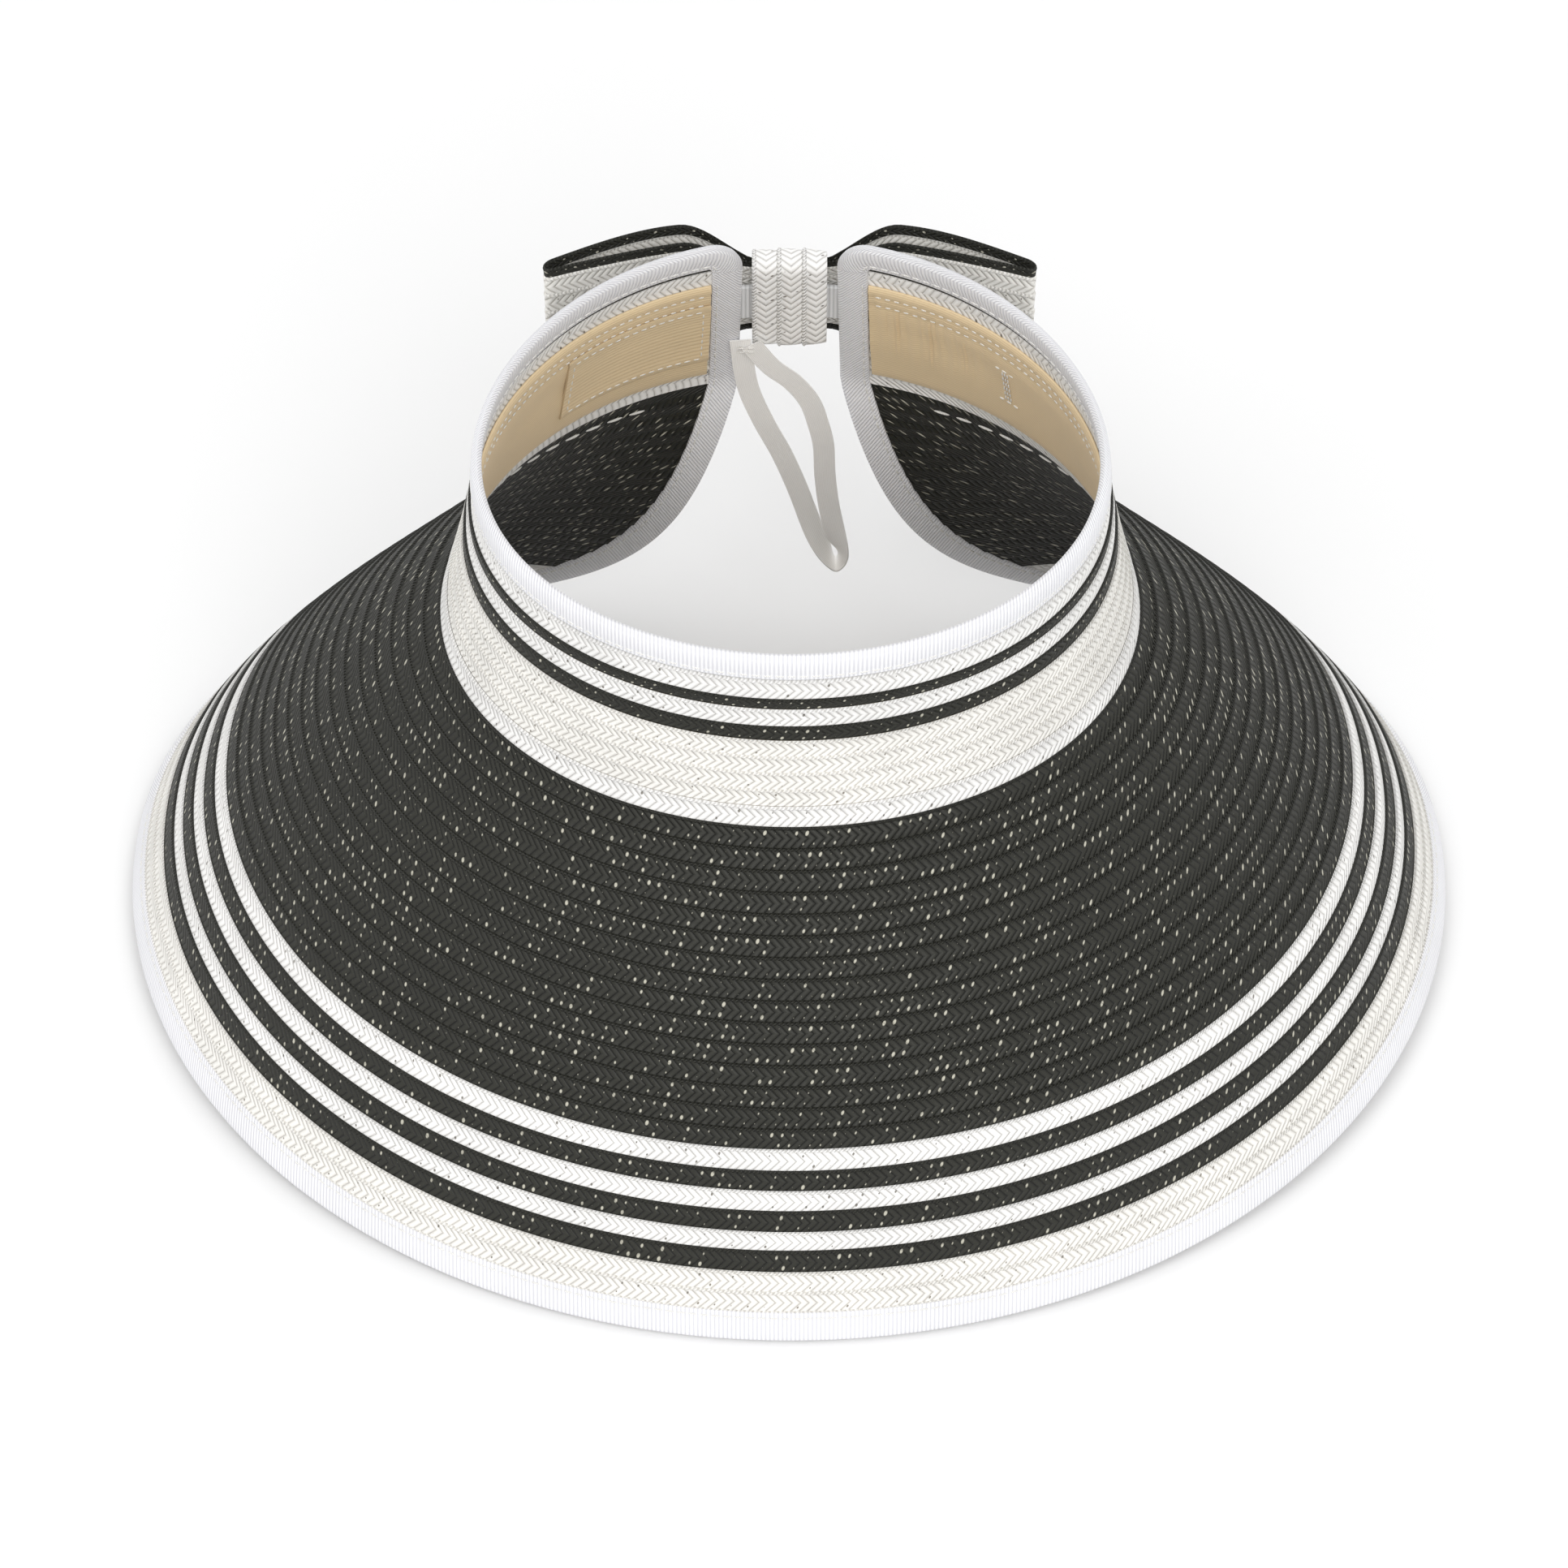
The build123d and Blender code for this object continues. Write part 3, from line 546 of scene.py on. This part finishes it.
# %% Sweatband tab and bar tack
TAB_FIRST, TAB_LAST = -SWEAT_END, -SWEAT_END + 50 / ARC_PER_DEGREE
TAB_TOP, TAB_BOTTOM = -6.6, -2.3
TAB_PROFILE = [(0.0, -2.0), (0.0, -2.5), (0.04, -2.75), (0.08, -2.6), (0.3, -2.7), (0.6, -2.62), (0.92, -2.6),
               (0.96, -2.75), (1.0, -2.5), (1.0, -2.0), (0.5, -2.0), (0.0, -2.0)]


def sweatband_tab():
    degrees = np.linspace(TAB_FIRST, TAB_LAST, 60)
    rows = [on_sheet(degrees, (TAB_TOP + (TAB_BOTTOM - TAB_TOP) * share) * ROW, lift)
            for share, lift in TAB_PROFILE]
    widths = np.linspace(0, 48, len(TAB_PROFILE))
    return woven_piece("cotton_sweatband_tab", np.stack(rows), widths, "visor", twill, ["sweatband_tab"],
                       joined=True)


sweatband_tab()
TAB_MARGIN = 1.4  # in degrees
TAB_LIFT = -2.66
tab_low, tab_high = TAB_FIRST + TAB_MARGIN, TAB_LAST - TAB_MARGIN
tab_seams = [shell_seam(tab_low, tab_high, row * ROW, TAB_LIFT, 30)
             for row in (TAB_TOP + 0.3, TAB_BOTTOM - 0.3)]


def upright_seam(angle, first, last, lift):
    s = np.linspace(first, last, 12) * ROW
    points = on_sheet(angle, s, lift)
    return points, (on_sheet(angle, s, lift * 2) - points) / abs(lift)


tab_seams += [upright_seam(angle, TAB_TOP + 0.4, TAB_BOTTOM - 0.4, TAB_LIFT) for angle in (tab_low, tab_high)]
stitch_row("stitches_sweatband_tab", tab_seams, 2.6, 0.7, 0.4, [])
TACK_LIFT = -2.05
tack_seams = [upright_seam(angle, -5.4, -3.2, TACK_LIFT) for angle in (136.4, 137.0, 137.6)]
tack_seams += [shell_seam(134.5, 139.5, row * ROW, TACK_LIFT, 12) for row in (-5.5, -3.1)]
stitch_row("stitches_bar_tack", tack_seams, 2.0, 0.85, 0.5, ["sweatband_bar_tack"])

# %% [markdown]
# The strap is a short length of woven webbing sewn over both crown ends. The bow's knot slides on it.

# %% Strap
BOW_HEIGHT, STRAP_WIDTH, STRAP, STRAP_BULGE = 29.0, 11.0, 1.6, 0.9
STRAP_LIFT = 2.03
STRAW = 1.2
strap_ends = np.linspace(END_ANGLE - 12 / ARC_PER_DEGREE, END_ANGLE, 12)
strap_low = -(BOW_HEIGHT - STRAP_WIDTH / 2)
outer_gap = on_sheet(END_ANGLE, strap_low, STRAP_LIFT)
STRAP_BACK = outer_gap[1] + STRAP + STRAP_BULGE


def strap_line(lift):
    """Plan of the strap: over one crown end, across the gap, and over the other."""
    right = on_sheet(strap_ends, strap_low, STRAP_LIFT + lift)[:, :2]
    left = right[::-1] * [-1, 1]
    edge = right[-1]
    x = np.linspace(edge[0], -edge[0], 14)[1:-1]
    bulge = edge[1] + STRAP_BULGE * (1 - (x / edge[0]) ** 2)
    return np.concatenate([right, np.stack([x, bulge], 1), left])


STRAP_SECTION = [(-1, 0.15), (-0.97, 0.0), (0.97, 0.0), (1, 0.15), (1, 0.85), (0.97, 1.0), (0.85, 0.97),
                 (0.8, 0.9), (0.0, 0.97), (-0.8, 0.9), (-0.85, 0.97), (-0.97, 1.0), (-1, 0.85), (-1, 0.15)]
strap_rows = []
for side, lift in STRAP_SECTION:
    plan = strap_line(lift * STRAP)
    height = np.full((len(plan), 1), BOW_HEIGHT + side * STRAP_WIDTH / 2)
    strap_rows.append(np.concatenate([plan, height], 1))
woven_piece("webbing_strap", np.stack(strap_rows), np.linspace(0, 26, len(STRAP_SECTION)), "visor", webbing,
            ["strap"], joined=True)

# %% [markdown]
# Each wing of the bow is a strip of sewn braid folded into a loop and gathered under the knot. It has
# six pale rows with a black row along the top and bottom, so both are made with the same profile.

# %% Bow wings
KNOT_WIDTH, KNOT_TALL, KNOT_WALL, BOW_CLEAR, LAYER_GAP = 20.5, 30.0, 1.3, 0.4, 0.15
WING_LENGTH, WING_TALL, WING_WAIST, WING_ROOT = 66.0, 42.0, 24.0, 1.0


def wing_height(x):
    part = np.clip((x - KNOT_WIDTH / 2) / (WING_LENGTH * 0.3), 0, 1)
    part = part * part * (3 - 2 * part)
    return WING_WAIST / 2 + (WING_TALL - WING_WAIST) / 2 * part


def wing_line(count=121):
    """Plan of a wing's loop: out along the front layer, round the tip, and back."""
    part = np.linspace(0, 1, count)
    x = WING_ROOT + (WING_LENGTH - WING_ROOT) * (1 - np.cos(2 * math.pi * part)) / 2
    beyond = np.maximum(x - KNOT_WIDTH / 2 - WING_ROOT, 0) / (WING_LENGTH - KNOT_WIDTH / 2 - WING_ROOT)
    gap = STRAW + 2 * LAYER_GAP + 6.0 * np.sin(math.pi * beyond ** 0.8) + 2.0 * beyond ** 3
    y = STRAP_BACK + BOW_CLEAR + STRAW / 2 - 14.0 * beyond ** 1.5
    turn = 0.5 - 0.5 * np.cos(math.pi * np.clip((part - 0.44) / 0.12, 0, 1))
    return x, y + gap * turn, beyond


def bow_strip(name, low, high, rows, hand, material, nodes, first_number):
    x, y, beyond = wing_line()
    line = np.stack([x, y], 1)
    run = np.gradient(line, axis=0)
    run /= np.linalg.norm(run, axis=1, keepdims=True)
    normal = np.stack([run[:, 1], -run[:, 0]], 1)
    lines, numbers = [], []
    for row in range(rows):
        for share, height in BRAID_PROFILE:
            along_height = high - (high - low) * (row + share) / rows
            gather = 0.18 * np.sin(along_height * 9.5) * np.clip(1 - beyond * 2.2, 0, 1)
            face = line + normal * (height * 0.5 - 0.2 + gather)[:, None]
            rise = BOW_HEIGHT + along_height * wing_height(x)
            lines.append(np.stack([hand * face[:, 0], face[:, 1], rise], 1))
            numbers.append(first_number + row + share)
    return woven_piece(name, np.stack(lines), numbers, "bow", material, nodes, 0.75, wall=0.0)


for hand, side_name in ((1, "left"), (-1, "right")):
    node = f"bow_{side_name}_wing"
    bow_strip("straw_" + node, -0.86, 0.86, 6, hand, ivory_braid, [node], 100)
    for edge_name, low, high in (("top", 0.865, 1.0), ("bottom", -1.0, -0.865)):
        bow_strip(f"straw_{node}_{edge_name}", low, high, 1, hand, black_braid, [node + "_edges"],
                  110)

# %% [markdown]
# The knot is white braid wrapped upright round the strap and the gathered wings, three rows wide.

# %% Bow knot
knot_front = outer_gap[1] - BOW_CLEAR - KNOT_WALL
knot_back = STRAP_BACK + 2 * BOW_CLEAR + 2 * STRAW + 2 * LAYER_GAP + KNOT_WALL
KNOT_MIDDLE, KNOT_DEPTH = (knot_front + knot_back) / 2, knot_back - knot_front


def knot_loop(lift, count=96):
    """Side outline of the knot, a rounded loop, grown by lift."""
    radius = KNOT_DEPTH / 2 - 0.8
    straight = KNOT_TALL / 2 - radius
    turn = np.linspace(0, 2 * math.pi, count)
    y = KNOT_MIDDLE + (np.sign(np.cos(turn)) * 0.8 + np.cos(turn) * radius) + np.cos(turn) * lift
    z = BOW_HEIGHT + np.sin(turn) * (radius + lift) + straight * np.tanh(np.sin(turn) * 6)
    return y, z


knot_lines, knot_numbers = [], []
for row in range(3):
    for share, height in BRAID_PROFILE + [(0.99, -0.3)]:
        across = (row + share) / 3
        bulge = 0.5 * math.sin(math.pi * across)
        y, z = knot_loop(-0.25 + height + bulge)
        x = np.full(len(y), -KNOT_WIDTH / 2 + KNOT_WIDTH * across)
        knot_lines.append(np.stack([x, y, z], 1))
        knot_numbers.append(120 + row + share)
woven_piece("straw_bow_knot", np.stack(knot_lines), knot_numbers, "bow", white_braid, ["bow_knot"], 0.9,
            wall=-1.0)

# %% [markdown]
# The packing loop is a satin ribbon, folded at its stitch and hanging free. It is a flat cord: it keeps
# its length, and it twists a quarter turn where it bends at the bottom.

# %% Packing loop
LOOP_ROUTE = np.array([
    (-13.5, 19.0), (-11.6, 2.6), (-7.4, -10.5), (-2.0, -23.5), (2.6, -37.2), (7.0, -52.6), (11.0, -63.0),
    (13.6, -66.5), (15.2, -62.5), (13.3, -54.3), (11.3, -42.9), (10.1, -31.0), (9.6, -19.6), (8.0, -11.2),
    (5.6, -3.0), (1.0, 4.2), (-5.0, 10.0), (-10.5, 18.0)])
LOOP_WIDTH, LOOP_RIBBON, LOOP_STRANDS = 6.0, 0.45, 1.0
leaf = on_sheet(END_ANGLE, 38.0 - CROWN_ROWS * ROW, -1.45)
LOOP_PLANE = leaf[1] - 0.3 - 0.8


def smooth_route(points, count):
    """Catmull-Rom curve through the points."""
    padded = np.concatenate([[2 * points[0] - points[1]], points, [2 * points[-1] - points[-2]]])
    t = np.linspace(0, len(points) - 1 - 1e-9, count)
    i = t.astype(int)
    u = (t - i)[:, None]
    a, b, c, d = padded[i], padded[i + 1], padded[i + 2], padded[i + 3]
    square = (2 * a - 5 * b + 4 * c - d) * u ** 2
    cube = (3 * b - a - 3 * c + d) * u ** 3
    return 0.5 * (2 * b + (c - a) * u + square + cube)


def packing_loop():
    count = 121
    flat = smooth_route(LOOP_ROUTE, count)
    part = np.linspace(0, 1, count)
    centre = np.stack([flat[:, 0], LOOP_PLANE + LOOP_STRANDS * (0.5 - part), flat[:, 1]], 1)
    run = np.gradient(centre, axis=0)
    run /= np.linalg.norm(run, axis=1, keepdims=True)
    bend = np.argmin(flat[:, 1]) / (count - 1)
    near = np.clip(1 - np.abs(part - bend) / 0.16, 0, 1)
    near = near * near * (3 - 2 * near)
    twist = (math.pi / 2 * near)[:, None]
    face = np.stack([-run[:, 2], 0 * part, run[:, 0]], 1)
    across = face * np.cos(twist) + np.array([0, 1, 0]) * np.sin(twist)
    across /= np.linalg.norm(across, axis=1, keepdims=True)
    lines = [centre + across * LOOP_WIDTH / 2 * side for side in np.linspace(-1, 1, 7)]
    piece = woven_piece("satin_packing_loop", np.stack(lines), np.linspace(0, 6, 7), "packing_loop", satin,
                        ["packing_loop"], LOOP_RIBBON)
    return piece, (centre + CREASE) / 1000


loop_piece, loop_path = packing_loop()


def loop_tack_seam(z, places=8):
    """Level seam over both ends of the ribbon, on the face towards the head."""
    x = np.linspace(-14.5, -9.5, places)
    points = np.stack([x, np.full(places, LOOP_PLANE - 0.95), np.full(places, z)], 1)
    return points, np.tile([0.0, -1.0, 0.0], (places, 1))


tack_rows = [loop_tack_seam(z) for z in (15.8, 17.2)]
stitch_row("stitches_loop_tack", tack_rows, 2.4, 0.85, 0.45, ["loop_tack"])

# %% [markdown]
# A pale floor, soft light from above and in front, and a camera high over the front of the brim.

# %% Floor, light and camera
bpy.ops.mesh.primitive_plane_add(size=8, location=(0, 0, -0.0005))
floor = bpy.context.object
floor.name = "floor"
floor_paint = bpy.data.materials.new("matt_white_paint")
floor_paint.use_nodes = True
floor_paint.node_tree.nodes["Principled BSDF"].inputs["Base Color"].default_value = linear("f4f4f4")
floor_paint.node_tree.nodes["Principled BSDF"].inputs["Roughness"].default_value = 0.9
floor.data.materials.append(floor_paint)
floor.select_set(False)

world = bpy.data.worlds.new("studio")
bpy.context.scene.world = world
world.use_nodes = True
background = world.node_tree.nodes["Background"]
background.inputs["Color"].default_value = (1, 1, 1, 1)
ray = add(world.node_tree, "LightPath")
seen = add(world.node_tree, "Math", {0: ray.outputs["Is Camera Ray"], 1: ray.outputs["Is Glossy Ray"]},
           operation="MAXIMUM")
strength = add(world.node_tree, "MapRange", {0: seen, 3: 0.85, 4: 1.0})
world.node_tree.links.new(strength.outputs[0], background.inputs["Strength"])


def softbox(name, place, size, watts):
    light = bpy.data.lights.new(name, "AREA")
    light.shape = "SQUARE"
    light.size, light.energy = size, watts
    lamp = bpy.data.objects.new(name, light)
    bpy.context.collection.objects.link(lamp)
    lamp.location = place
    lamp.rotation_euler = (Vector((0, 0, 0.08)) - Vector(place)).to_track_quat("-Z", "Y").to_euler()


softbox("key_softbox", (-0.9, -1.0, 1.9), 1.3, 7)
softbox("front_softbox", (0.3, -1.35, 1.25), 1.0, 10)
softbox("back_softbox", (0.2, 1.4, 1.4), 1.2, 4)

ELEVATION, AZIMUTH, ROLL, DISTANCE = math.radians(47.0), math.radians(-0.27), math.radians(-0.18), 1398.0
back = Vector((math.sin(AZIMUTH) * math.cos(ELEVATION), -math.cos(AZIMUTH) * math.cos(ELEVATION),
               math.sin(ELEVATION)))
right = Vector((math.cos(AZIMUTH), math.sin(AZIMUTH), 0))
up = back.cross(right)
turned_right = right * math.cos(ROLL) - up * math.sin(ROLL)
turned_up = right * math.sin(ROLL) + up * math.cos(ROLL)
target = Vector((-1.5, 0.0, -75.2)) + Vector(CREASE)
place = (target + back * DISTANCE) / 1000
camera = bpy.data.objects.new("camera", bpy.data.cameras.new("camera"))
bpy.context.collection.objects.link(camera)
LENS = 115.9
camera.data.lens = LENS
axes = Matrix((turned_right, turned_up, back)).transposed().to_4x4()
camera.matrix_world = Matrix.Translation(place) @ axes
bpy.context.scene.camera = camera
bpy.context.scene.view_settings.view_transform = "Standard"
